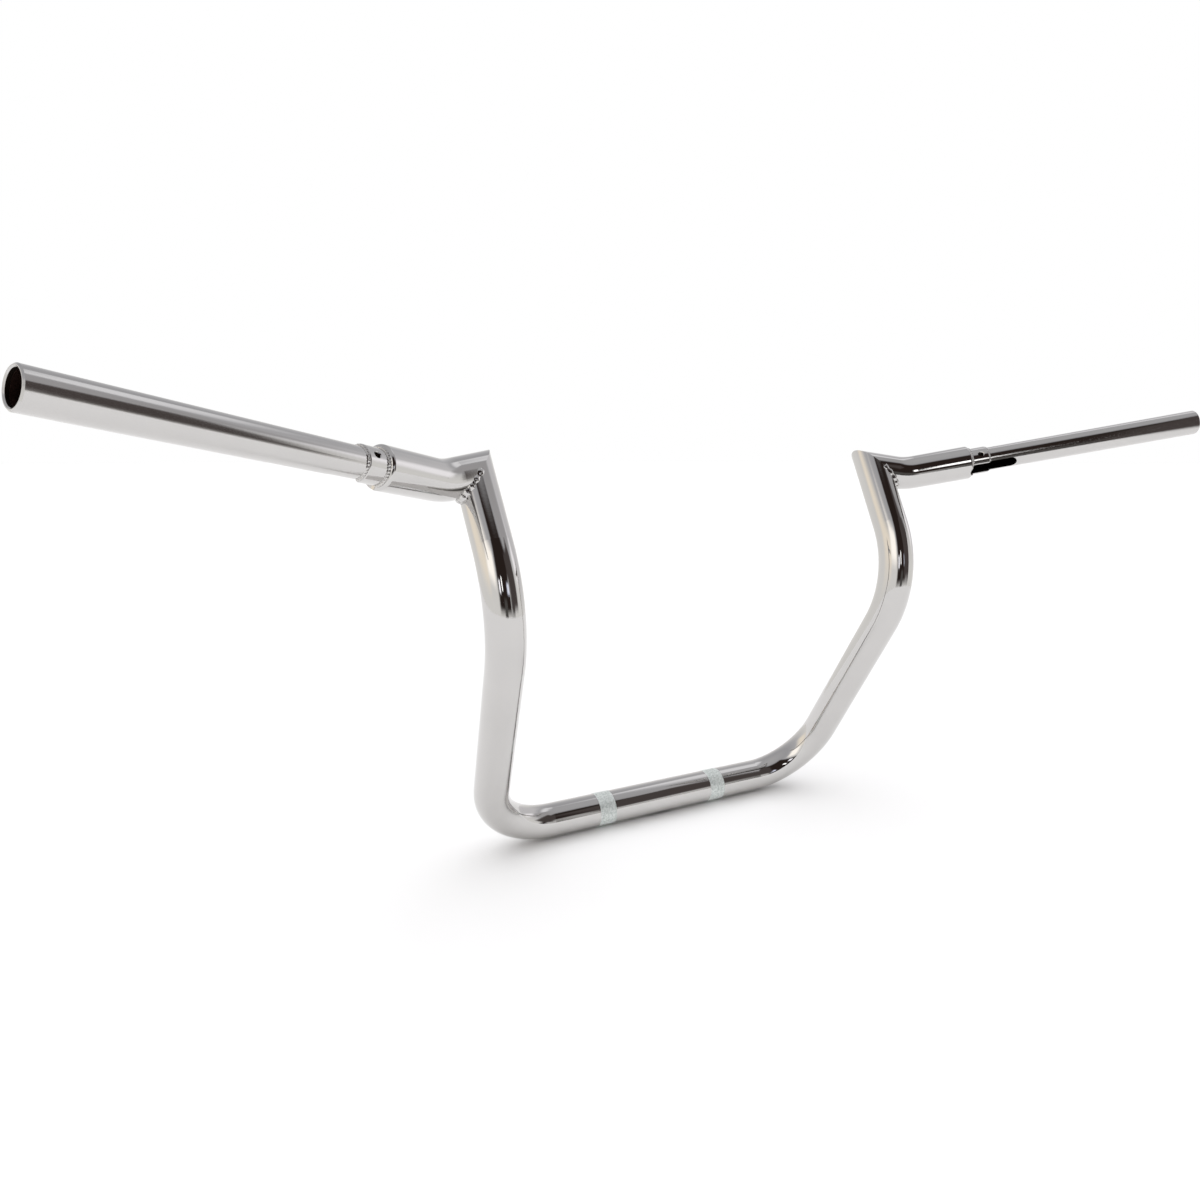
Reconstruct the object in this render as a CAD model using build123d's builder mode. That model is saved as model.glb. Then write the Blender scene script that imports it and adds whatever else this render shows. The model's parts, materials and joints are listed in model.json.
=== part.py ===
from build123d import *
import math
import os

os.makedirs("parts", exist_ok=True)

# Handlebar for a touring motorcycle, welded from bent steel tube, in millimetres.
# +X is the rider's right, +Y points forward and +Z is up.  The origin is the middle of
# the clamped base tube, on its axis.  The bar is symmetric about the YZ plane except
# for the angle at which each grip's wiring slot is cut.

# ---- tubes -------------------------------------------------------------------------
tube_od = 31.75              # 1 1/4 in main tube, for the hoop and the arms
tube_wall = 3.05
collar_od = 25.4             # 1 in reducer between an arm and its grip
grip_od = 22.225             # 7/8 in grip tube
grip_wall = 2.1
spigot_step = 0.165          # the grip tube is turned down by this much to enter the collar
seat_clearance = 0.15        # around each tube end that is seated inside the next tube

# ---- hoop: base, risers and necks --------------------------------------------------
base_half_width = 183.4      # middle of the base to the corner of the lower bend
riser_length = 261.3         # lower corner to upper corner
riser_splay = 3.4            # degrees outwards from vertical
riser_lean = 27.7            # degrees towards the rider
neck_length = 115.8          # upper corner to the centre of the mitre
neck_splay = 3.1             # degrees outwards from vertical
neck_lean = -29.8            # degrees, negative leans forwards
lower_bend_radius = 67.5
upper_bend_radius = 100.8

# ---- arms, collars and grips -------------------------------------------------------
arm_inner_length = 31.2      # centre of the mitre to the bend's corner
arm_inner_sweep = 23.0       # degrees towards the rider
arm_inner_rise = -8.7        # degrees above horizontal
arm_outer_length = 62.7      # bend's corner to the arm's open end
grip_sweep = 31.0
grip_rise = 10.5
arm_bend_radius = 54.6
collar_show = 16.3           # length of collar between the arm and the grip's weld
collar_insert = 25.0         # length of collar inside the arm
grip_show = 192.7            # length of grip tube outside the collar
grip_insert = 24.0           # length of grip tube inside the collar

# ---- edges and welds ---------------------------------------------------------------
lip_round = 2.6              # rounded outer edge of the arm's open end
collar_round = 0.9           # rounded outer edge of the collar's open end
grip_end_chamfer = 0.8
corner_bead_radius = 3.4     # weld bead in the inside corner of the mitre
corner_bead_arc = 170.0      # degrees of the mitre's ellipse that the bead follows
lip_weld_leg = 1.6           # concave weld between the arm's end and the collar
collar_weld_leg = 1.5        # concave weld between the collar and the grip tube
weld_hollow = 0.15           # depth of the hollow in both concave welds
weld_toe = 0.05              # thickness of the lip weld where it runs out on the collar

# ---- holes and slots ---------------------------------------------------------------
collar_hole_diameter = 4.6
collar_hole_chamfer = 0.7
collar_hole_station = 9.2    # arm's end to the hole's centre
collar_hole_angle = 58.0     # degrees from the top, turning towards the rider
slot_width = 10.4
slot_lead = 3.0              # length of the slot inside the arm's rounded end
slot_length = 42.0           # arm's end to the slot's outer end
right_slot_angle = 127.0     # degrees from the top, turning towards the rider
left_slot_angle = 200.0
base_exit_length = 32.0      # wiring exit under the middle of the base
base_exit_width = 12.0


# ---- sizes that follow from the fits between the tubes ------------------------------
arm_bore = tube_od - 2 * tube_wall
collar_seat_od = arm_bore - 2 * seat_clearance
spigot_od = grip_od - 2 * spigot_step
collar_bore = spigot_od + 2 * seat_clearance
grip_bore = grip_od - 2 * grip_wall


def leaning(splay, lean):
    """Unit direction of a riser, from its outward and rearward tilts in degrees."""
    upright = Vector(math.sin(math.radians(splay)), 0, math.cos(math.radians(splay)))
    return upright.rotate(Axis.X, lean)


def sweeping(sweep, rise):
    """Unit direction of an arm, from its rearward and upward angles in degrees."""
    flat = math.cos(math.radians(rise))
    back = math.radians(sweep)
    return Vector(flat * math.cos(back), -flat * math.sin(back), math.sin(math.radians(rise)))


def on_side(side, vector):
    """A point or direction of the right half, on the right (side 1) or the left (side -1)."""
    return Vector(side * vector.X, vector.Y, vector.Z)


def radial_plane(side, centre, angle):
    """Plane through a grip's axis at `centre`, with X along the grip and Z pointing out.

    The outward direction is `angle` degrees from the top, turning towards the rider."""
    way = on_side(side, grip_way)
    forward = Vector(0, 0, 1).cross(way).normalized() * side
    top = (Vector(0, 0, 1) - way * way.Z).normalized()
    turn = math.radians(angle)
    return Plane(origin=centre, x_dir=way, z_dir=top * math.cos(turn) - forward * math.sin(turn))


# ---- route of the right half, from the base to the open end of the grip ------------
lower_corner = Vector(base_half_width, 0, 0)
upper_corner = lower_corner + leaning(riser_splay, riser_lean) * riser_length
neck_way = leaning(neck_splay, neck_lean)
mitre_centre = upper_corner + neck_way * neck_length
arm_way = sweeping(arm_inner_sweep, arm_inner_rise)
arm_corner = mitre_centre + arm_way * arm_inner_length
grip_way = sweeping(grip_sweep, grip_rise)
arm_end = arm_corner + grip_way * arm_outer_length
collar_end = arm_end + grip_way * collar_show
grip_end = collar_end + grip_way * grip_show

# The mitre plane halves the corner between the neck and the arm.
half_mitre = math.radians(180 - neck_way.get_angle(arm_way)) / 2
mitre_overrun = 2 * tube_od  # length of tube past the mitre's centre that is cut away


# ---- sections and cuts that several pieces share -----------------------------------
def main_tube_section():
    """Ring of the main tube's cross-section, for a BuildSketch placed across the tube."""
    Circle(tube_od / 2)
    Circle(arm_bore / 2, mode=Mode.SUBTRACT)


def wiring_slot(side):
    """Cut the slot that starts in the arm's rounded end and runs out along the grip."""
    angle = right_slot_angle if side > 0 else left_slot_angle
    with BuildSketch(radial_plane(side, on_side(side, arm_end), angle)) as slot:
        with Locations(((slot_length - slot_lead) / 2, 0)):
            SlotOverall(slot_length + slot_lead, slot_width)
    extrude(slot.sketch, amount=tube_od, mode=Mode.SUBTRACT)


def drilled_hole(side):
    """Cut the countersunk hole through the collar and the grip tube inside it."""
    centre = on_side(side, arm_end + grip_way * collar_hole_station)
    outward = radial_plane(side, centre, collar_hole_angle)
    with BuildSketch(outward) as drill:
        Circle(collar_hole_diameter / 2)
    extrude(drill.sketch, amount=tube_od, mode=Mode.SUBTRACT)
    with Locations(outward.offset(collar_od / 2 - collar_hole_chamfer)):
        Cone(
            bottom_radius=collar_hole_diameter / 2,
            top_radius=collar_hole_diameter / 2 + 2 * collar_hole_chamfer,
            height=2 * collar_hole_chamfer,
            align=(Align.CENTER, Align.CENTER, Align.MIN),
            mode=Mode.SUBTRACT,
        )


def arm_route(side):
    """Corners of an arm's centre line, started behind the mitre so that it can be cut."""
    start = mitre_centre - arm_way * mitre_overrun
    return [on_side(side, corner) for corner in (start, arm_corner, arm_end)]


def mitre_cut(side):
    """Mitre plane of one side, with its normal pointing into the arm and X to the inside corner."""
    return Plane(
        origin=on_side(side, mitre_centre),
        x_dir=on_side(side, arm_way - neck_way),
        z_dir=on_side(side, arm_way + neck_way),
    )


def weld_ring(side, start, inner_radius, head_radius, foot_radius, leg):
    """Concave weld around a grip's axis, filling the step between a tube's end and the next tube.

    It stands on `inner_radius`, and falls from `head_radius` at `start` to `foot_radius`."""
    way = on_side(side, grip_way)
    along = Plane(origin=on_side(side, start), x_dir=way, z_dir=way.cross(Vector(0, 0, 1)))
    foot = (leg, foot_radius)
    head = (0, head_radius)
    with BuildSketch(along) as profile:
        with BuildLine():
            Polyline(foot, (leg, inner_radius), (0, inner_radius), head)
            SagittaArc(head, foot, weld_hollow)
        make_face()
    revolve(profile.sketch, axis=Axis(on_side(side, start), way))


# ---- hoop: one tube with four bends, mitred at both ends ---------------------------
with BuildPart() as main_hoop:
    right_route = [lower_corner, upper_corner, mitre_centre + neck_way * mitre_overrun]
    left_route = [on_side(-1, corner) for corner in reversed(right_route)]
    with BuildLine() as hoop_route:
        FilletPolyline(
            *left_route,
            *right_route,
            radius=[upper_bend_radius, lower_bend_radius, lower_bend_radius, upper_bend_radius],
        )
    with BuildSketch(Plane(origin=hoop_route.line @ 0, z_dir=hoop_route.line % 0)):
        main_tube_section()
    sweep()
    for side in (1, -1):
        split(bisect_by=mitre_cut(side), keep=Keep.BOTTOM)
    with BuildSketch(Plane.XY.offset(-tube_od / 2)):
        SlotOverall(base_exit_length, base_exit_width)
    extrude(amount=tube_od / 2, mode=Mode.SUBTRACT)
main_hoop.part.label = "main_hoop"
export_step(main_hoop.part, "parts/main_hoop.step")


for side, name in ((1, "right"), (-1, "left")):
    # ---- arm: bent tube from the mitre to its rounded end --------------------------
    with BuildPart() as arm:
        with BuildLine() as arm_line:
            FilletPolyline(*arm_route(side), radius=arm_bend_radius)
        with BuildSketch(Plane(origin=arm_line.line @ 0, z_dir=arm_line.line % 0)):
            main_tube_section()
        sweep()
        split(bisect_by=mitre_cut(side), keep=Keep.TOP)
        open_end = arm.faces().filter_by(GeomType.PLANE).sort_by_distance(on_side(side, arm_end))[0]
        fillet(open_end.outer_wire().edges(), lip_round)
        wiring_slot(side)
    arm.part.label = f"{name}_arm"
    export_step(arm.part, f"parts/{name}_arm.step")

    # ---- corner weld: bead along the inside of the mitre, thinning out to both sides
    with BuildPart() as corner_weld:
        with BuildLine(mitre_cut(side)) as bead_line:
            EllipticalCenterArc(
                center=(0, 0),
                x_radius=tube_od / 2 / math.sin(half_mitre),
                y_radius=tube_od / 2 - corner_bead_radius,
                start_angle=-corner_bead_arc / 2,
                arc_size=corner_bead_arc,
            )
        with BuildSketch(Plane(origin=bead_line.line @ 0, z_dir=bead_line.line % 0)):
            Circle(corner_bead_radius)
        sweep()
        with BuildLine() as arm_line:
            FilletPolyline(*arm_route(side), radius=arm_bend_radius)
        with BuildSketch(Plane(origin=arm_line.line @ 0, z_dir=arm_line.line % 0)):
            Circle(tube_od / 2)
        sweep(mode=Mode.SUBTRACT)
        neck_start = mitre_centre - neck_way * neck_length / 2
        with BuildSketch(Plane(origin=on_side(side, neck_start), z_dir=on_side(side, neck_way))):
            Circle(tube_od / 2)
        extrude(amount=neck_length / 2 + mitre_overrun, mode=Mode.SUBTRACT)
    corner_weld.part.label = f"{name}_corner_weld"
    export_step(corner_weld.part, f"parts/{name}_corner_weld.step")

    # ---- collar: reducer sleeve, seated inside the arm's end -----------------------
    with BuildPart() as collar:
        way = on_side(side, grip_way)
        seat = on_side(side, arm_end - grip_way * collar_insert)
        with BuildSketch(Plane(origin=seat, z_dir=way)):
            Circle(collar_seat_od / 2)
        extrude(amount=collar_insert)
        with BuildSketch(Plane(origin=on_side(side, arm_end), z_dir=way)):
            Circle(collar_od / 2)
        extrude(amount=collar_show)
        with BuildSketch(Plane(origin=seat, z_dir=way)):
            Circle(collar_bore / 2)
        extrude(amount=collar_insert + collar_show, mode=Mode.SUBTRACT)
        outer_end = collar.faces().filter_by(GeomType.PLANE).sort_by_distance(on_side(side, collar_end))[0]
        fillet(outer_end.outer_wire().edges(), collar_round)
        drilled_hole(side)
        wiring_slot(side)
    collar.part.label = f"{name}_collar"
    export_step(collar.part, f"parts/{name}_collar.step")

    # ---- grip tube: spigot inside the collar, open and chamfered at its outer end --
    with BuildPart() as grip_tube:
        way = on_side(side, grip_way)
        spigot_start = on_side(side, collar_end - grip_way * grip_insert)
        shoulder = on_side(side, collar_end + grip_way * collar_weld_leg)
        with BuildSketch(Plane(origin=spigot_start, z_dir=way)):
            Circle(spigot_od / 2)
        extrude(amount=grip_insert + collar_weld_leg)
        with BuildSketch(Plane(origin=shoulder, z_dir=way)):
            Circle(grip_od / 2)
        extrude(amount=grip_show - collar_weld_leg)
        with BuildSketch(Plane(origin=spigot_start, z_dir=way)):
            Circle(grip_bore / 2)
        extrude(amount=grip_insert + grip_show, mode=Mode.SUBTRACT)
        outer_end = grip_tube.faces().filter_by(GeomType.PLANE).sort_by_distance(on_side(side, grip_end))[0]
        chamfer(outer_end.edges(), grip_end_chamfer)
        drilled_hole(side)
        wiring_slot(side)
    grip_tube.part.label = f"{name}_grip_tube"
    export_step(grip_tube.part, f"parts/{name}_grip_tube.step")

    # ---- welds around both steps ---------------------------------------------------
    with BuildPart() as lip_weld:
        lip_face_radius = tube_od / 2 - lip_round
        weld_ring(side, arm_end, collar_od / 2, lip_face_radius, collar_od / 2 + weld_toe, lip_weld_leg)
        wiring_slot(side)
    lip_weld.part.label = f"{name}_lip_weld"
    export_step(lip_weld.part, f"parts/{name}_lip_weld.step")

    with BuildPart() as collar_weld:
        collar_face_radius = collar_od / 2 - collar_round
        weld_ring(side, collar_end, spigot_od / 2, collar_face_radius, grip_od / 2, collar_weld_leg)
        wiring_slot(side)
    collar_weld.part.label = f"{name}_collar_weld"
    export_step(collar_weld.part, f"parts/{name}_collar_weld.step")
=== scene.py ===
"""Looks of a chromed touring-motorcycle handlebar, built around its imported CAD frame.

Everything is in metres, in the frame of the CAD: +X is the rider's right, +Y points
forward, +Z is up, and the origin is the middle of the clamped base tube.
"""

import json
import logging
import math
from dataclasses import dataclass, field
from enum import Enum

import bmesh
import bpy
from mathutils import Matrix, Vector


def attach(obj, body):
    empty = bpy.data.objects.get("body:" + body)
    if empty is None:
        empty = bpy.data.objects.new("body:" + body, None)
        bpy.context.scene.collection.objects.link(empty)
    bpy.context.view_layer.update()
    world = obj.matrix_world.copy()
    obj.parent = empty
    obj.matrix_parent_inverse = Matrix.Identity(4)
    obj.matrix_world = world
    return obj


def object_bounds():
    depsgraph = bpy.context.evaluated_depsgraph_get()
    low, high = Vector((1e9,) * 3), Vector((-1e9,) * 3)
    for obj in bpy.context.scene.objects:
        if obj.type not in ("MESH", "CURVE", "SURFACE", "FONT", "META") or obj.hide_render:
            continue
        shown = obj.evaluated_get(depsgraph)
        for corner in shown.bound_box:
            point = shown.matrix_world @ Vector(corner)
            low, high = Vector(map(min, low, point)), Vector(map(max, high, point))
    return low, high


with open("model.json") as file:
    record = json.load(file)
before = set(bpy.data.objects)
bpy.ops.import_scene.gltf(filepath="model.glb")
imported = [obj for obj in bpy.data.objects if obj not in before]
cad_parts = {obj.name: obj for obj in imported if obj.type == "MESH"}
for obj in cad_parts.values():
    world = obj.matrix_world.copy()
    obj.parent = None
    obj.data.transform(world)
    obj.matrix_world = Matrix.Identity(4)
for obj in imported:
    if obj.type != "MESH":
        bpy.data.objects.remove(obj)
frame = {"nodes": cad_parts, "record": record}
cad_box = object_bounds()

log = logging.getLogger("handlebar")

MM = 0.001
RAYS = ("camera", "diffuse", "glossy", "transmission", "volume_scatter", "shadow")
MIX_A, MIX_B, MIX_RESULT = 6, 7, 2  # the colour sockets of a Mix node


class Side(Enum):
    """The rider's right or left half of the bar."""

    RIGHT = 1
    LEFT = -1

    @property
    def label(self) -> str:
        """The word that starts the names of this side's pieces."""
        return self.name.lower()


class Sight(Enum):
    """What may see a stage piece: the camera alone, or the chrome alone."""

    CAMERA = "camera"
    CHROME = "glossy"


# ---- finishes ------------------------------------------------------------------------
class Nodes:
    """A short hand for building one node tree."""

    def __init__(self, tree: bpy.types.NodeTree) -> None:
        """Start from an empty tree.

        Args:
            tree: The node tree of a material or a world.
        """
        self.tree = tree
        self.tree.nodes.clear()

    def add(self, kind: str, **settings: object) -> bpy.types.Node:
        """Add a node and set its properties and unlinked inputs.

        Args:
            kind: The node's class name, such as ShaderNodeTexNoise.
            settings: Node properties, or input sockets with spaces as underscores.

        Returns:
            The new node.
        """
        node = self.tree.nodes.new(kind)
        for key, value in settings.items():
            socket = node.inputs.get(key.replace("_", " "))
            if socket is None:
                setattr(node, key, value)
            else:
                socket.default_value = value
        return node

    def link(self, source: bpy.types.NodeSocket, target: bpy.types.NodeSocket) -> None:
        """Join an output socket to an input socket."""
        self.tree.links.new(source, target)

    def maths(self, operation: str, *values: object) -> bpy.types.NodeSocket:
        """Add a Math node.

        Args:
            operation: The Math node's operation.
            values: One number or socket for each input.

        Returns:
            The node's output socket.
        """
        node = self.tree.nodes.new("ShaderNodeMath")
        node.operation = operation
        for socket, value in zip(node.inputs, values):
            if isinstance(value, bpy.types.NodeSocket):
                self.link(value, socket)
            else:
                socket.default_value = value
        return node.outputs[0]

    def ramp(
        self, value: bpy.types.NodeSocket, stops: list[tuple[float, tuple]]
    ) -> bpy.types.NodeSocket:
        """Add a colour ramp.

        Args:
            value: The socket that drives the ramp.
            stops: Pairs of a position and a linear RGB colour.

        Returns:
            The ramp's colour socket.
        """
        node = self.tree.nodes.new("ShaderNodeValToRGB")
        elements = node.color_ramp.elements
        while len(elements) < len(stops):
            elements.new(0.5)
        for element, (position, colour) in zip(elements, stops):
            element.position = position
            element.color = (*colour, 1.0)
        self.link(value, node.inputs[0])
        return node.outputs[0]

    def band(
        self, value: bpy.types.NodeSocket, span: tuple[float, float], soft: float
    ) -> bpy.types.NodeSocket:
        """Make a mask that is 1 inside a span and falls off smoothly at both ends.

        Args:
            value: The socket to compare.
            span: The span's low and high ends.
            soft: How far the edges reach to each side.

        Returns:
            The mask's socket.
        """
        edges = []
        for limit in span:
            step = self.add("ShaderNodeMapRange", interpolation_type="SMOOTHSTEP")
            self.link(value, step.inputs["Value"])
            step.inputs["From Min"].default_value = limit - soft
            step.inputs["From Max"].default_value = limit + soft
            edges.append(step.outputs[0])
        return self.maths("SUBTRACT", edges[0], edges[1])

    def stretch(self, value: bpy.types.NodeSocket, low: float, high: float) -> bpy.types.NodeSocket:
        """Map a 0 to 1 value on to the range from low to high."""
        return self.maths("MULTIPLY_ADD", value, high - low, low)


def blank_material(name: str) -> tuple[bpy.types.Material, Nodes, bpy.types.Node]:
    """Make a material that holds only its output.

    Args:
        name: The material's name.

    Returns:
        The material, its nodes and its output node.
    """
    material = bpy.data.materials.new(name)
    material.use_nodes = True
    n = Nodes(material.node_tree)
    return material, n, n.add("ShaderNodeOutputMaterial")


@dataclass(frozen=True)
class Hollow:
    """A straight round hollow whose wall is painted near-black, as painted shade inside the tube.

    It runs along its way, from the start to the stop, both measured from its centre.
    """

    centre: Vector
    way: Vector
    radius: float
    start: float
    stop: float

    def mask(self, n: Nodes, place: bpy.types.NodeSocket) -> bpy.types.NodeSocket:
        """Make a mask that is 1 inside the hollow.

        Args:
            n: The material's nodes.
            place: The Object coordinates.

        Returns:
            The mask's socket.
        """
        offset = n.add("ShaderNodeVectorMath", operation="SUBTRACT")
        n.link(place, offset.inputs[0])
        offset.inputs[1].default_value = self.centre
        along = n.add("ShaderNodeVectorMath", operation="DOT_PRODUCT")
        across = n.add("ShaderNodeVectorMath", operation="CROSS_PRODUCT")
        for node in (along, across):
            n.link(offset.outputs[0], node.inputs[0])
            node.inputs[1].default_value = self.way
        reach = n.add("ShaderNodeVectorMath", operation="LENGTH")
        n.link(across.outputs[0], reach.inputs[0])
        within = n.maths("LESS_THAN", reach.outputs["Value"], self.radius)
        past = n.maths("GREATER_THAN", along.outputs["Value"], self.start)
        short = n.maths("LESS_THAN", along.outputs["Value"], self.stop)
        return n.maths("MULTIPLY", within, n.maths("MULTIPLY", past, short))


@dataclass(frozen=True)
class Chrome:
    """Polished chrome plate, with faint orange peel, hairline scratches and smudges, and painted
    shade inside hollows.
    """

    name: str
    colour: tuple[float, float, float] = (0.605, 0.594, 0.583)
    # painted shade: the near-black colour inside hollows, and the roughness there
    bare: tuple[float, float, float] = (0.028, 0.020, 0.016)
    roughness: float = 0.035
    smudge: float = 0.05
    bare_roughness: float = 0.6
    tarnish: float = 0.965
    tarnish_scale: float = 26.0
    film_scale: float = 75.0
    film_power: float = 3.0
    peel: float = 0.018
    peel_scale: float = 380.0
    scratch: float = 0.012
    scratch_turn: tuple[float, float, float] = (0.3, 0.2, 0.6)
    scratch_scale: tuple[float, float, float] = (60.0, 2600.0, 2600.0)
    relief_depth: float = 0.0006

    def build(self, hollows: tuple[Hollow, ...] = ()) -> bpy.types.Material:
        """Build the material.

        Args:
            hollows: The insides of tubes and holes, which get painted shade.

        Returns:
            A metal material that reads Object coordinates.
        """
        material, n, out = blank_material(self.name)
        metal = n.add("ShaderNodeBsdfPrincipled", Metallic=1.0)
        n.link(metal.outputs[0], out.inputs[0])
        place = n.add("ShaderNodeTexCoord").outputs["Object"]
        # mask of the hollows, where shade is painted into the colour
        dark = 0.0
        for hollow in hollows:
            dark = n.maths("MAXIMUM", dark, hollow.mask(n, place))

        cloud = n.add("ShaderNodeTexNoise", Scale=self.tarnish_scale, Detail=3.0, Roughness=0.55)
        n.link(place, cloud.inputs["Vector"])
        tint = n.ramp(
            cloud.outputs[0],
            [(0.3, tuple(c * self.tarnish for c in self.colour)), (0.7, self.colour)],
        )
        film_and_bore_shade = n.add("ShaderNodeTexNoise", Scale=self.film_scale, Detail=5.0, Roughness=0.6)
        n.link(place, film_and_bore_shade.inputs["Vector"])
        patches = n.maths("POWER", film_and_bore_shade.outputs[0], self.film_power)
        gloss = n.stretch(patches, self.roughness, self.roughness + self.smudge)
        # painted shade: inside the hollows the colour turns near-black and the roughness rises
        if hollows:
            shade = n.add("ShaderNodeMix", data_type="RGBA")
            n.link(dark, shade.inputs[0])
            n.link(tint, shade.inputs[MIX_A])
            shade.inputs[MIX_B].default_value = (*self.bare, 1)
            tint = shade.outputs[MIX_RESULT]
            gloss = n.maths("MAXIMUM", gloss, n.maths("MULTIPLY", dark, self.bare_roughness))
        n.link(tint, metal.inputs["Base Color"])
        n.link(gloss, metal.inputs["Roughness"])

        peel = n.add("ShaderNodeTexNoise", Scale=self.peel_scale, Detail=2.0)
        n.link(place, peel.inputs["Vector"])
        hair = n.add("ShaderNodeTexNoise", Scale=1.0, Detail=4.0, Roughness=0.7)
        turned = n.add("ShaderNodeMapping", Rotation=self.scratch_turn, Scale=self.scratch_scale)
        n.link(place, turned.inputs["Vector"])
        n.link(turned.outputs[0], hair.inputs["Vector"])
        relief = n.maths("MULTIPLY_ADD", hair.outputs[0], self.scratch / self.peel, peel.outputs[0])
        bump = n.add("ShaderNodeBump", Strength=self.peel, Distance=self.relief_depth)
        n.link(relief, bump.inputs["Height"])
        n.link(bump.outputs[0], metal.inputs["Normal"])
        return material


@dataclass(frozen=True)
class DullSilver:
    """Unpolished silvery plate, mottled by the cutting and by handling."""

    name: str
    light: tuple[float, float, float] = (0.80, 0.84, 0.82)
    dark: tuple[float, float, float] = (0.50, 0.54, 0.525)
    metal: float = 0.6
    roughness: float = 0.42
    unevenness: float = 0.12
    spots: float = 520.0
    grit: float = 0.35
    grit_depth: float = 0.00005

    def build(self) -> bpy.types.Material:
        """Build the material.

        Returns:
            A metal material that reads Object coordinates.
        """
        material, n, out = blank_material(self.name)
        metal = n.add("ShaderNodeBsdfPrincipled", Metallic=self.metal)
        n.link(metal.outputs[0], out.inputs[0])
        place = n.add("ShaderNodeTexCoord").outputs["Object"]
        mottle = n.add("ShaderNodeTexNoise", Scale=self.spots, Detail=4.0, Roughness=0.6)
        n.link(place, mottle.inputs["Vector"])
        tint = n.ramp(mottle.outputs[0], [(0.32, self.dark), (0.62, self.light)])
        n.link(tint, metal.inputs["Base Color"])
        rough, smooth = self.roughness + self.unevenness, self.roughness - self.unevenness
        n.link(n.stretch(mottle.outputs[0], rough, smooth), metal.inputs["Roughness"])
        grit = n.add("ShaderNodeTexNoise", Scale=4 * self.spots, Detail=2.0)
        n.link(place, grit.inputs["Vector"])
        bump = n.add("ShaderNodeBump", Strength=self.grit, Distance=self.grit_depth)
        n.link(grit.outputs[0], bump.inputs["Height"])
        n.link(bump.outputs[0], metal.inputs["Normal"])
        return material


@dataclass(frozen=True)
class Panel:
    """One soft-edged patch of the surroundings that the chrome mirrors.

    Angles are in degrees. Azimuth 0 is straight behind the camera and grows to its
    right-hand side. Elevation is above the horizon.
    """

    azimuth: tuple[float, float]
    elevation: tuple[float, float]
    colour: tuple[float, float, float]
    soft: float = 3.0


# The room's colour at each elevation in degrees, from straight down to straight up.
CEILING = (
    (-90.0, (1.00, 0.98, 0.95)),
    (0.0, (0.97, 0.96, 0.94)),
    (12.0, (0.86, 0.85, 0.84)),
    (30.0, (0.62, 0.62, 0.64)),
    (50.0, (0.50, 0.50, 0.52)),
    (90.0, (0.58, 0.58, 0.59)),
)
# What stands in the room. A later panel covers an earlier one.
PANELS = (
    Panel((-98, -48), (0, 22), (1.22, 1.11, 0.95), 9),
    Panel((-50, -16), (8, 34), (1.65, 1.58, 1.48), 7),
    Panel((118, 158), (-4, 36), (0.78, 0.77, 0.79), 8),
    Panel((104, 120), (6, 27), (1.30, 1.28, 1.32), 5),
    Panel((118, 160), (46, 60), (1.02, 1.02, 1.05), 5),
    Panel((-8, 70), (-9, 55), (0.030, 0.021, 0.018), 5),
    Panel((16, 30), (-21, 2), (0.10, 0.095, 0.09), 3),
    Panel((74, 114), (26, 57), (0.48, 0.47, 0.48), 7),
    Panel((47, 61), (-10, 19), (0.66, 0.65, 0.64), 4),
    Panel((-3, 4), (5, 15), (1.7, 1.7, 1.8), 1.5),
    Panel((11, 15), (8, 19), (2.4, 2.4, 2.4), 1),
    Panel((34, 43), (6, 15), (1.1, 1.15, 1.35), 2),
)


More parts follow.
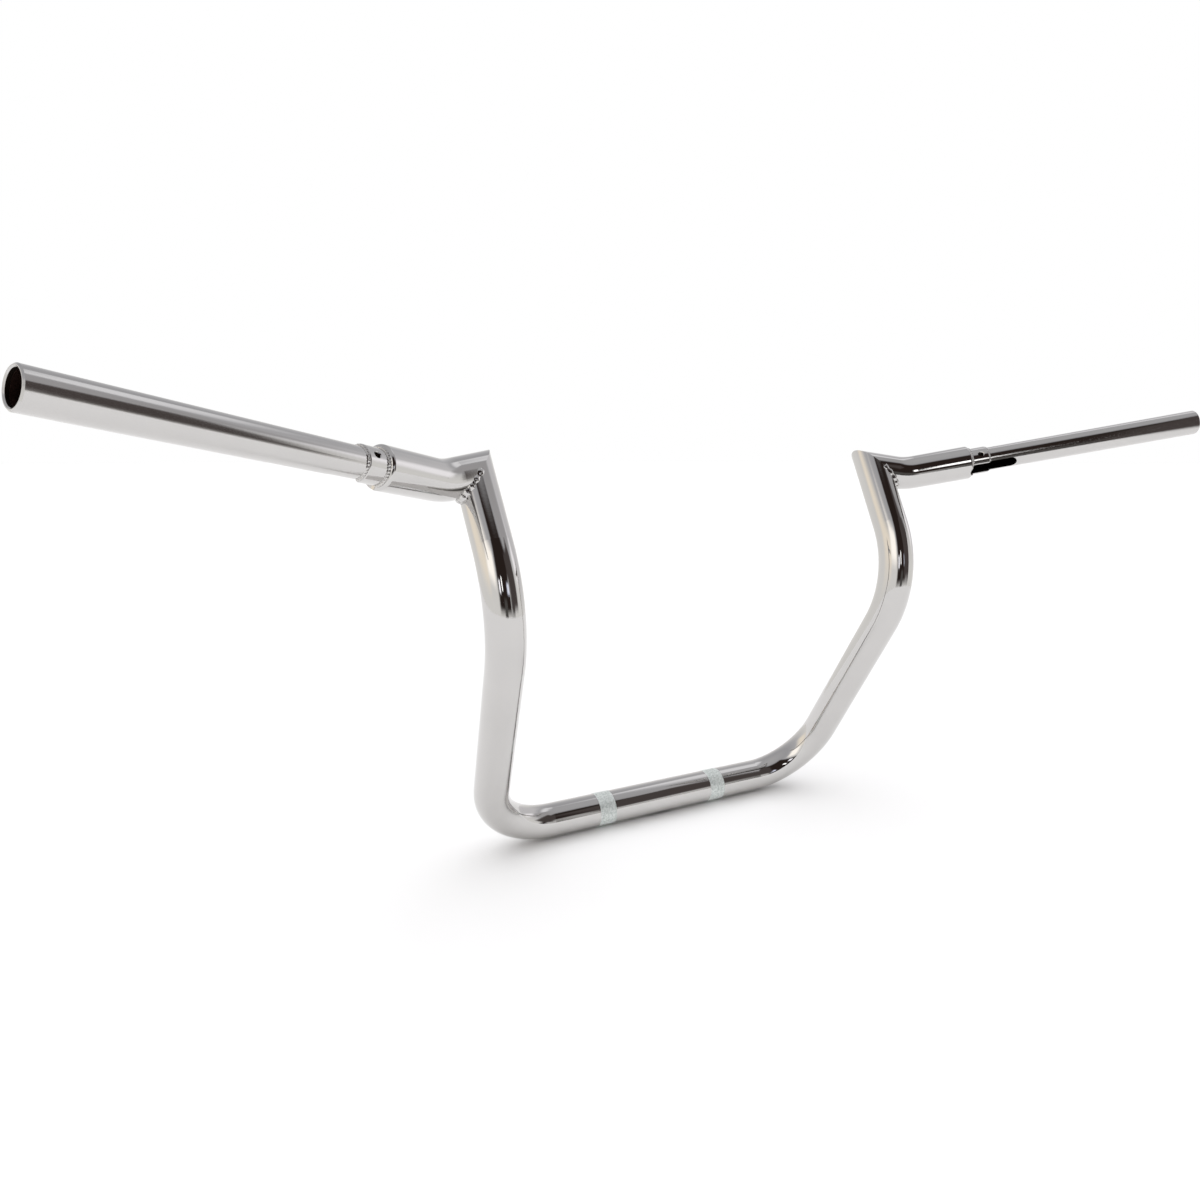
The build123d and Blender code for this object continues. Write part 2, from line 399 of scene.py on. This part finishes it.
@dataclass
class Studio:
    """Pale floor, white surround, soft light and the camera.

    The surround and the far floor are seen by the camera only. Reflections take the
    world's soft panels instead, as a chromed part mirrors the room it stands in.
    """

    floor_drop: float = 0.0015
    far_floor_drop: float = 2 * MM
    floor_white: float = 0.93
    near_floor_radius: float = 1.3
    far_floor_radius: float = 30.0
    dome_radius: float = 29.4
    camera_place: Vector = field(default_factory=lambda: Vector((-387.9, -649.4, 347.5)) * MM)
    camera_ahead: Vector = field(default_factory=lambda: Vector((0.43613, 0.88059, -0.18533)))
    camera_lens: float = 23.454
    camera_film: float = 36.0
    camera_near: float = 10 * MM
    card_centre: Vector = field(default_factory=lambda: Vector((0.51, -0.634, 0.35)))
    card_across: Vector = field(default_factory=lambda: Vector((0.474, 0.88, 0)))
    card_reach: float = 1.0
    card_span: tuple[float, float] = (-0.36, 0.17)
    card_height: tuple[float, float] = (-0.19, 0.60)
    card_soft: float = 0.07
    card_colour: tuple[float, float, float] = (0.088, 0.074, 0.071)
    sun_strength: float = 1.85
    sun_angle: float = 100.0

    def camera(self) -> None:
        """Put the camera behind the left grip, without roll, looking across the bar."""
        data = bpy.data.cameras.new("camera")
        data.lens = self.camera_lens
        data.sensor_width = self.camera_film
        data.clip_start = self.camera_near
        eye = bpy.data.objects.new("camera", data)
        ahead = self.camera_ahead.normalized()
        right = ahead.cross(Vector((0, 0, 1))).normalized()
        up = right.cross(ahead)
        turn = Matrix((right, up, -ahead)).transposed().to_4x4()
        eye.matrix_world = Matrix.Translation(self.camera_place) @ turn
        bpy.context.scene.collection.objects.link(eye)
        bpy.context.scene.camera = eye

    def floor(self) -> None:
        """Lay a plain pale floor just under the base."""
        lowest = cad_box[0].z - self.floor_drop
        paint, n, out = blank_material("pale_floor")
        matt = n.add("ShaderNodeBsdfDiffuse", Color=(*(self.floor_white,) * 3, 1))
        n.link(matt.outputs[0], out.inputs[0])
        near = disc("near_floor", self.near_floor_radius, lowest)
        far = disc("far_floor", self.far_floor_radius, lowest - self.far_floor_drop)
        for sheet in (near, far):
            sheet.data.materials.append(paint)
        show_only(far, Sight.CAMERA)

    def surround(self) -> None:
        """Close the studio with an even white surround."""
        mesh = bmesh.new()
        bmesh.ops.create_uvsphere(mesh, u_segments=64, v_segments=32, radius=self.dome_radius)
        dome = as_object("white_surround", mesh)
        glow, n, out = blank_material("white_surround")
        light = n.add("ShaderNodeEmission", Color=(1, 1, 1, 1), Strength=1.0)
        n.link(light.outputs[0], out.inputs[0])
        dome.data.materials.append(glow)
        show_only(dome, Sight.CAMERA)

    def card(self) -> None:
        """Stand a dark, soft-edged card beside the grips, which only the chrome mirrors."""
        centre, across = self.card_centre, self.card_across.normalized()
        mesh = bmesh.new()
        bmesh.ops.create_grid(mesh, x_segments=1, y_segments=1, size=self.card_reach)
        turn = Matrix((across, (0, 0, 1), across.cross(Vector((0, 0, 1))))).transposed()
        bmesh.ops.rotate(mesh, verts=mesh.verts, cent=(0, 0, 0), matrix=turn)
        bmesh.ops.translate(mesh, verts=mesh.verts, vec=centre)
        sheet = as_object("dark_card", mesh)
        cloth, n, out = blank_material("dark_card")
        place = n.add("ShaderNodeTexCoord").outputs["Object"]
        offset = n.add("ShaderNodeVectorMath", operation="SUBTRACT")
        n.link(place, offset.inputs[0])
        offset.inputs[1].default_value = centre
        masks = []
        for way, span in ((across, self.card_span), ((0, 0, 1), self.card_height)):
            along = n.add("ShaderNodeVectorMath", operation="DOT_PRODUCT")
            n.link(offset.outputs[0], along.inputs[0])
            along.inputs[1].default_value = way
            masks.append(n.band(along.outputs["Value"], span, self.card_soft))
        glow = n.add("ShaderNodeEmission", Color=(*self.card_colour, 1), Strength=1.0)
        clear = n.add("ShaderNodeBsdfTransparent")
        mix = n.add("ShaderNodeMixShader")
        n.link(n.maths("MULTIPLY", *masks), mix.inputs[0])
        n.link(clear.outputs[0], mix.inputs[1])
        n.link(glow.outputs[0], mix.inputs[2])
        n.link(mix.outputs[0], out.inputs[0])
        sheet.data.materials.append(cloth)
        show_only(sheet, Sight.CHROME)

    def light(self) -> None:
        """Hang one very soft overhead light, which the chrome doesn't mirror."""
        data = bpy.data.lights.new("soft_overhead", "SUN")
        data.energy = self.sun_strength
        data.angle = math.radians(self.sun_angle)
        lamp = bpy.data.objects.new("soft_overhead", data)
        lamp.visible_glossy = False
        bpy.context.scene.collection.objects.link(lamp)

    def world(self) -> None:
        """Paint the room that the chrome mirrors, by direction only."""
        world = bpy.data.worlds.new("studio_world")
        bpy.context.scene.world = world
        world.use_nodes = True
        n = Nodes(world.node_tree)
        out = n.add("ShaderNodeOutputWorld")
        way = n.add("ShaderNodeTexCoord").outputs["Generated"]
        turned = n.add("ShaderNodeVectorRotate", rotation_type="Z_AXIS")
        behind = math.atan2(-self.camera_ahead.y, -self.camera_ahead.x)
        turned.inputs["Angle"].default_value = -behind
        n.link(way, turned.inputs["Vector"])
        parts = n.add("ShaderNodeSeparateXYZ")
        n.link(turned.outputs[0], parts.inputs[0])
        azimuth = n.maths("DEGREES", n.maths("ARCTAN2", parts.outputs["Y"], parts.outputs["X"]))
        elevation = n.maths("DEGREES", n.maths("ARCSINE", parts.outputs["Z"]))
        height = n.maths("MULTIPLY_ADD", elevation, 1 / 180, 0.5)
        colour = n.ramp(height, [((angle + 90) / 180, tone) for angle, tone in CEILING])
        for panel in PANELS:
            across = n.band(azimuth, panel.azimuth, panel.soft)
            along = n.band(elevation, panel.elevation, panel.soft)
            mix = n.add("ShaderNodeMix", data_type="RGBA")
            n.link(n.maths("MULTIPLY", across, along), mix.inputs[0])
            n.link(colour, mix.inputs[MIX_A])
            mix.inputs[MIX_B].default_value = (*panel.colour, 1)
            colour = mix.outputs[MIX_RESULT]
        light = n.add("ShaderNodeBackground", Strength=1.0)
        n.link(colour, light.inputs[0])
        n.link(light.outputs[0], out.inputs[0])


# ---- the handlebar -------------------------------------------------------------------
def mount(name: str) -> dict:
    """Find one of the record's mounts by name."""
    return next(entry for entry in frame["record"]["mounts"] if entry["name"] == name)


def dress(node: str, material: bpy.types.Material) -> None:
    """Give a CAD node its material and say so.

    Args:
        node: The CAD node's name.
        material: Its material.
    """
    slots = frame["nodes"][node].data.materials
    slots.clear()
    slots.append(material)
    log.info("%s: %s", node, material.name)


def hand_in(piece: bpy.types.Object, material: bpy.types.Material) -> None:
    """Dress a new piece, fix it to the bar and say so.

    Args:
        piece: The new object.
        material: Its material.
    """
    piece.data.materials.append(material)
    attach(piece, "root")
    log.info("%s: %d faces, %s", piece.name, len(piece.data.polygons), material.name)


@dataclass
class KnurledBand:
    """One band of diamond knurling that a riser clamp bites on.

    The valleys lie just above the tube, the diamonds rise by the height from there, and
    the foot of the band sits inside the tube's wall by the root.
    """

    name: str
    middle: float
    radius: float
    width: float = 17.0 * MM
    rows_round: int = 96
    valley: float = 0.006 * MM
    height: float = 0.085 * MM
    root: float = 0.10 * MM
    cut_reach: float = 1e-7
    merge_reach: float = 1e-6

    def build(self) -> bpy.types.Object:
        """Cut the diamonds flat, then wrap them round the base and close the band.

        Returns:
            The finished piece.
        """
        around = math.tau * self.radius
        diamond = around / self.rows_round
        cells = 2 * math.ceil((around + self.width) / 2 / diamond) + 2
        side = cells * diamond / math.sqrt(2)
        mesh = bmesh.new()
        bmesh.ops.create_grid(mesh, x_segments=cells, y_segments=cells, size=side / 2)
        turn = Matrix.Rotation(math.radians(45), 3, "Z")
        bmesh.ops.rotate(mesh, verts=mesh.verts, cent=(0, 0, 0), matrix=turn)
        limits = [
            (Vector(normal) * way, reach)
            for normal, reach in (((1, 0, 0), self.width / 2), ((0, 1, 0), around / 2))
            for way in (1, -1)
        ]
        for outwards, reach in limits:
            far = [f for f in mesh.faces if f.calc_center_median().dot(outwards) > reach + diamond]
            bmesh.ops.delete(mesh, geom=far, context="FACES")
        bmesh.ops.poke(mesh, faces=mesh.faces, offset=self.height, center_mode="MEAN")
        for outwards, reach in limits:
            bmesh.ops.bisect_plane(
                mesh,
                geom=[*mesh.verts, *mesh.edges, *mesh.faces],
                dist=self.cut_reach,
                plane_co=outwards * reach,
                plane_no=outwards,
                clear_outer=True,
            )
        for vert in mesh.verts:
            angle = vert.co.y / self.radius
            reach = self.radius + self.valley + vert.co.z
            across, down = reach * math.sin(angle), reach * math.cos(angle)
            vert.co = Vector((self.middle + vert.co.x, across, -down))
        bmesh.ops.remove_doubles(mesh, verts=mesh.verts, dist=self.merge_reach)
        rims = [edge for edge in mesh.edges if edge.is_boundary]
        skirt = bmesh.ops.extrude_edge_only(mesh, edges=rims)["geom"]
        inner = [item for item in skirt if isinstance(item, bmesh.types.BMVert)]
        for vert in inner:
            foot = Vector((0, vert.co.y, vert.co.z)).normalized() * (self.radius - self.root)
            vert.co = Vector((vert.co.x, foot.y, foot.z))
        sides = [item for item in skirt if isinstance(item, bmesh.types.BMEdge)]
        bmesh.ops.bridge_loops(mesh, edges=[edge for edge in sides if edge.is_boundary])
        bmesh.ops.recalc_face_normals(mesh, faces=mesh.faces)
        return as_object(self.name, mesh)


@dataclass
class WeldBead:
    """A rippled bead laid round an axis, left open over a gap.

    Each ripple bows as a laid bead's does, and the wander slowly changes the bead's
    size round the axis. A stretched bead follows an ellipse, longest away from the gap.
    """

    name: str
    centre: Vector
    way: Vector
    open_way: Vector
    radius: float
    thickness: float = 0.95 * MM
    ripple: float = 0.2 * MM
    ripple_pitch: float = 2.2 * MM
    gap: float = 0.95
    stretch: float = 0.0
    wander: float = 0.6
    wander_waves: int = 5
    ripple_bow: float = 0.9
    steps: int = 288
    corners: int = 12

    def build(self) -> bpy.types.Object:
        """Spin the bead's section round the axis and raise its ripples.

        Returns:
            The finished piece.
        """
        out = self.open_way - self.way * self.open_way.dot(self.way)
        out.normalize()
        out.rotate(Matrix.Rotation(self.gap / 2, 3, self.way))
        mesh = bmesh.new()
        bmesh.ops.create_circle(mesh, segments=self.corners, radius=self.thickness)
        turn = Matrix((out, self.way, out.cross(self.way))).transposed()
        bmesh.ops.rotate(mesh, verts=mesh.verts, cent=(0, 0, 0), matrix=turn)
        bmesh.ops.translate(mesh, verts=mesh.verts, vec=self.centre + out * self.radius)
        bmesh.ops.spin(
            mesh,
            geom=[*mesh.verts, *mesh.edges],
            cent=self.centre,
            axis=self.way,
            angle=math.tau - self.gap,
            steps=self.steps,
        )
        waves = round(math.tau * self.radius / self.ripple_pitch)
        side = self.way.cross(out)
        for vert in mesh.verts:
            offset = vert.co - self.centre
            station = offset.dot(self.way)
            across = offset - self.way * station
            angle = math.atan2(across.dot(side), across.dot(out))
            core = across.normalized() * self.radius
            bow = self.ripple_bow * station / self.thickness
            swell = self.ripple * math.sin(waves * angle + bow * bow * 2)
            swell += self.wander * self.ripple * math.sin(self.wander_waves * angle)
            from_core = offset - core
            vert.co += from_core.normalized() * swell
            vert.co += self.open_way * (self.stretch * core.dot(self.open_way) / self.radius)
        bmesh.ops.holes_fill(mesh, edges=[edge for edge in mesh.edges if edge.is_boundary])
        bmesh.ops.recalc_face_normals(mesh, faces=mesh.faces)
        piece = as_object(self.name, mesh)
        piece.data.shade_smooth()
        return piece


@dataclass
class Hoop:
    """The base, both risers and both necks, bent from one tube, with its clamp bands."""

    band_station: float = 64.0 * MM
    bore: float = 13.2 * MM
    exit_reach: float = 24.0 * MM

    def build(self, knurl: bpy.types.Material) -> None:
        """Dress the tube and add both knurled bands.

        Args:
            knurl: The material of the knurled bands.
        """
        radius = mount("base_clamp")["dims"]["r_mm"] * MM
        along = Vector((1, 0, 0))
        # painted shade inside the base tube, around its middle
        inside = Hollow(Vector((0, 0, 0)), along, self.bore, -self.exit_reach, self.exit_reach)
        dress("main_hoop", Chrome("hoop_chrome").build((inside,)))
        for side in Side:
            band = KnurledBand(f"{side.label}_clamp_knurl", side.value * self.band_station, radius)
            hand_in(band.build(), knurl)


@dataclass
class Grip:
    """One arm with its collar, grip tube and welds.

    Stations run along the grip's axis, from the shoulder where its collar's weld ends.
    """

    side: Side
    arm_hollow_stop: float = -16.8 * MM
    spigot_stop: float = -2.0 * MM
    spigot_margin: float = 2.0 * MM
    hollow_start: float = -120.0 * MM
    hollow_end: float = 1.0
    arm_bore: float = 13.0 * MM
    collar_bore: float = 12.15 * MM
    grip_bore_margin: float = 0.12 * MM
    liner_wall: float = 0.3 * MM
    liner_gap: float = 0.16 * MM
    liner_recess: float = 1.6 * MM
    liner_start: float = 62.0 * MM
    liner_merge: float = 1e-7
    ring_segments: int = 72
    collar_roughness: float = 0.07
    grip_roughness: float = 0.115
    lip_station: float = -17.3 * MM
    lip_radius: float = 13.1 * MM
    lip_size: float = 0.95 * MM
    collar_station: float = -1.2 * MM
    collar_radius: float = 11.5 * MM
    collar_size: float = 0.75 * MM
    mitre_centre: Vector = field(default_factory=lambda: Vector((205.159, -63.784, 331.286)) * MM)
    neck_way: Vector = field(default_factory=lambda: Vector((0.05408, 0.49625, 0.86650)))
    arm_way: Vector = field(default_factory=lambda: Vector((0.90991, -0.38623, -0.15126)))
    corner_size: float = 3.4 * MM
    corner_lift: float = 0.9 * MM
    corner_arc: float = math.radians(158)
    corner_ripple: float = 0.38 * MM
    corner_ripple_pitch: float = 3.2 * MM
    slot_angles: dict[Side, float] = field(
        default_factory=lambda: {Side.RIGHT: 127.0, Side.LEFT: 200.0}
    )

    def __post_init__(self) -> None:
        """Read the grip's axis and its stations from the record."""
        bore = mount(f"{self.side.label}_bar_end")
        grip = mount(f"{self.side.label}_grip")
        self.way = Vector(bore["axis"]).normalized()
        self.radius = bore["dims"]["r_mm"] * MM
        half = grip["dims"]["length_mm"] * MM / 2
        self.shoulder = Vector(grip["pos_m"]) - self.way * half
        self.length = 2 * half

    def hollow(self, radius: float, stop: float) -> Hollow:
        """Describe a hollow on the grip's axis, from well inside the arm to a station."""
        return Hollow(self.shoulder, self.way, radius, self.hollow_start, stop)

    def liner(self) -> bpy.types.Object:
        """Spin the dark sleeve that lines the grip tube's bore, as painted shade inside it.

        Returns:
            The finished piece.
        """
        outer = self.radius - self.liner_gap
        inner = outer - self.liner_wall
        across = self.way.orthogonal().normalized()
        low, high = self.liner_start, self.length - self.liner_recess
        mesh = bmesh.new()
        corners = [
            mesh.verts.new(self.shoulder + self.way * station + across * reach)
            for station, reach in ((low, outer), (high, outer), (high, inner), (low, inner))
        ]
        edges = [mesh.edges.new((a, b)) for a, b in zip(corners, corners[1:] + corners[:1])]
        bmesh.ops.spin(
            mesh,
            geom=[*corners, *edges],
            cent=self.shoulder,
            axis=self.way,
            angle=math.tau,
            steps=self.ring_segments,
            use_merge=True,
        )
        bmesh.ops.remove_doubles(mesh, verts=mesh.verts, dist=self.liner_merge)
        bmesh.ops.recalc_face_normals(mesh, faces=mesh.faces)
        return as_object(f"{self.side.label}_bore_film", mesh)

    def build(self, weld: bpy.types.Material, film_and_bore_shade: bpy.types.Material) -> None:
        """Dress the tubes and welds with painted shade in their hollows, and line the bore with a
        dark sleeve of painted shade.

        Args:
            weld: The material of the weld beads.
            film_and_bore_shade: The material of the dark sleeve, painted shade in the bore.
        """
        label = self.side.label
        # painted shade inside the arm, collar and grip tube bores
        arm = self.hollow(self.arm_bore, self.arm_hollow_stop)
        collar = self.hollow(self.collar_bore, 0.0)
        bore = self.hollow(self.radius + self.grip_bore_margin, self.hollow_end)
        spigot = self.hollow(self.radius + self.spigot_margin, self.spigot_stop)
        arm_chrome = Chrome(f"{label}_arm_chrome")
        collar_chrome = Chrome(f"{label}_collar_chrome", roughness=self.collar_roughness)
        grip_chrome = Chrome(f"{label}_grip_chrome", roughness=self.grip_roughness)
        dress(f"{label}_arm", arm_chrome.build((arm,)))
        dress(f"{label}_collar", collar_chrome.build((collar,)))
        dress(f"{label}_grip_tube", grip_chrome.build((bore, spigot)))
        for bead in ("corner_weld", "lip_weld", "collar_weld"):
            dress(f"{label}_{bead}", weld)
        hand_in(self.liner(), film_and_bore_shade)
        hand_in(self.corner_bead().build(), weld)
        for kind, station, reach, size in (
            ("lip_bead", self.lip_station, self.lip_radius, self.lip_size),
            ("collar_bead", self.collar_station, self.collar_radius, self.collar_size),
        ):
            centre = self.shoulder + self.way * station
            bead = WeldBead(f"{label}_{kind}", centre, self.way, self.slot_way(), reach, size)
            hand_in(bead.build(), weld)

    def corner_bead(self) -> WeldBead:
        """Lay out the rippled bead in the inside corner of the mitre.

        Returns:
            The bead, which follows the mitre's ellipse over its inner half.
        """
        mirror = Matrix.Diagonal((self.side.value, 1, 1))
        neck, arm = mirror @ self.neck_way, mirror @ self.arm_way
        tube = mount("base_clamp")["dims"]["r_mm"] * MM
        half = (math.pi - neck.angle(arm)) / 2
        inside = (arm - neck).normalized()
        return WeldBead(
            f"{self.side.label}_corner_bead",
            mirror @ self.mitre_centre,
            (arm + neck).normalized(),
            -inside,
            tube - self.corner_size,
            self.corner_size + self.corner_lift,
            ripple=self.corner_ripple,
            ripple_pitch=self.corner_ripple_pitch,
            gap=math.tau - self.corner_arc,
            stretch=tube / math.sin(half) - (tube - self.corner_size),
        )

    def slot_way(self) -> Vector:
        """Find the direction that the wiring slot faces, seen from the grip's axis.

        Returns:
            A direction square to the axis.
        """
        top = (Vector((0, 0, 1)) - self.way * self.way.z).normalized()
        forward = Vector((0, 0, 1)).cross(self.way).normalized() * self.side.value
        angle = math.radians(self.slot_angles[self.side])
        return top * math.cos(angle) - forward * math.sin(angle)


# ---- stage and small helpers ---------------------------------------------------------
def show_only(piece: bpy.types.Object, sight: Sight) -> None:
    """Hide a stage piece from every ray but one kind."""
    for ray in RAYS:
        setattr(piece, f"visible_{ray}", ray == sight.value)


def disc(name: str, radius: float, height: float) -> bpy.types.Object:
    """Make a flat round sheet.

    Args:
        name: The object's name.
        radius: The sheet's radius.
        height: Its height above the origin.

    Returns:
        The new object.
    """
    mesh = bmesh.new()
    bmesh.ops.create_circle(mesh, cap_ends=True, segments=96, radius=radius)
    bmesh.ops.translate(mesh, verts=mesh.verts, vec=(0, 0, height))
    return as_object(name, mesh)


def as_object(name: str, mesh: bmesh.types.BMesh) -> bpy.types.Object:
    """Turn a finished bmesh into a linked object at the origin.

    Args:
        name: The object's name.
        mesh: The bmesh, which is freed.

    Returns:
        The new object.
    """
    data = bpy.data.meshes.new(name)
    mesh.to_mesh(data)
    mesh.free()
    piece = bpy.data.objects.new(name, data)
    bpy.context.scene.collection.objects.link(piece)
    return piece


def main() -> None:
    """Dress the frame, light it and report each piece."""
    bpy.context.scene.view_settings.view_transform = "Standard"
    studio = Studio()
    studio.camera()
    studio.floor()
    studio.surround()
    studio.card()
    studio.light()
    studio.world()
    knurl = DullSilver("dull_silver_knurl").build()
    weld = Chrome("weld_chrome", peel=0.45, peel_scale=300.0, roughness=0.06).build()
    # painted shade inside the grip bores: a dark reddish-brown sleeve with the mottled finish
    reddish_bore_shade, dark_brown = (0.085, 0.045, 0.036), (0.045, 0.024, 0.020)
    film_and_bore_shade = DullSilver("dark_bore_film", reddish_bore_shade, dark_brown, metal=0.85).build()
    Hoop().build(knurl)
    for side in Side:
        Grip(side).build(weld, film_and_bore_shade)


if __name__ == "__main__":
    logging.basicConfig(level=logging.INFO)
    main()
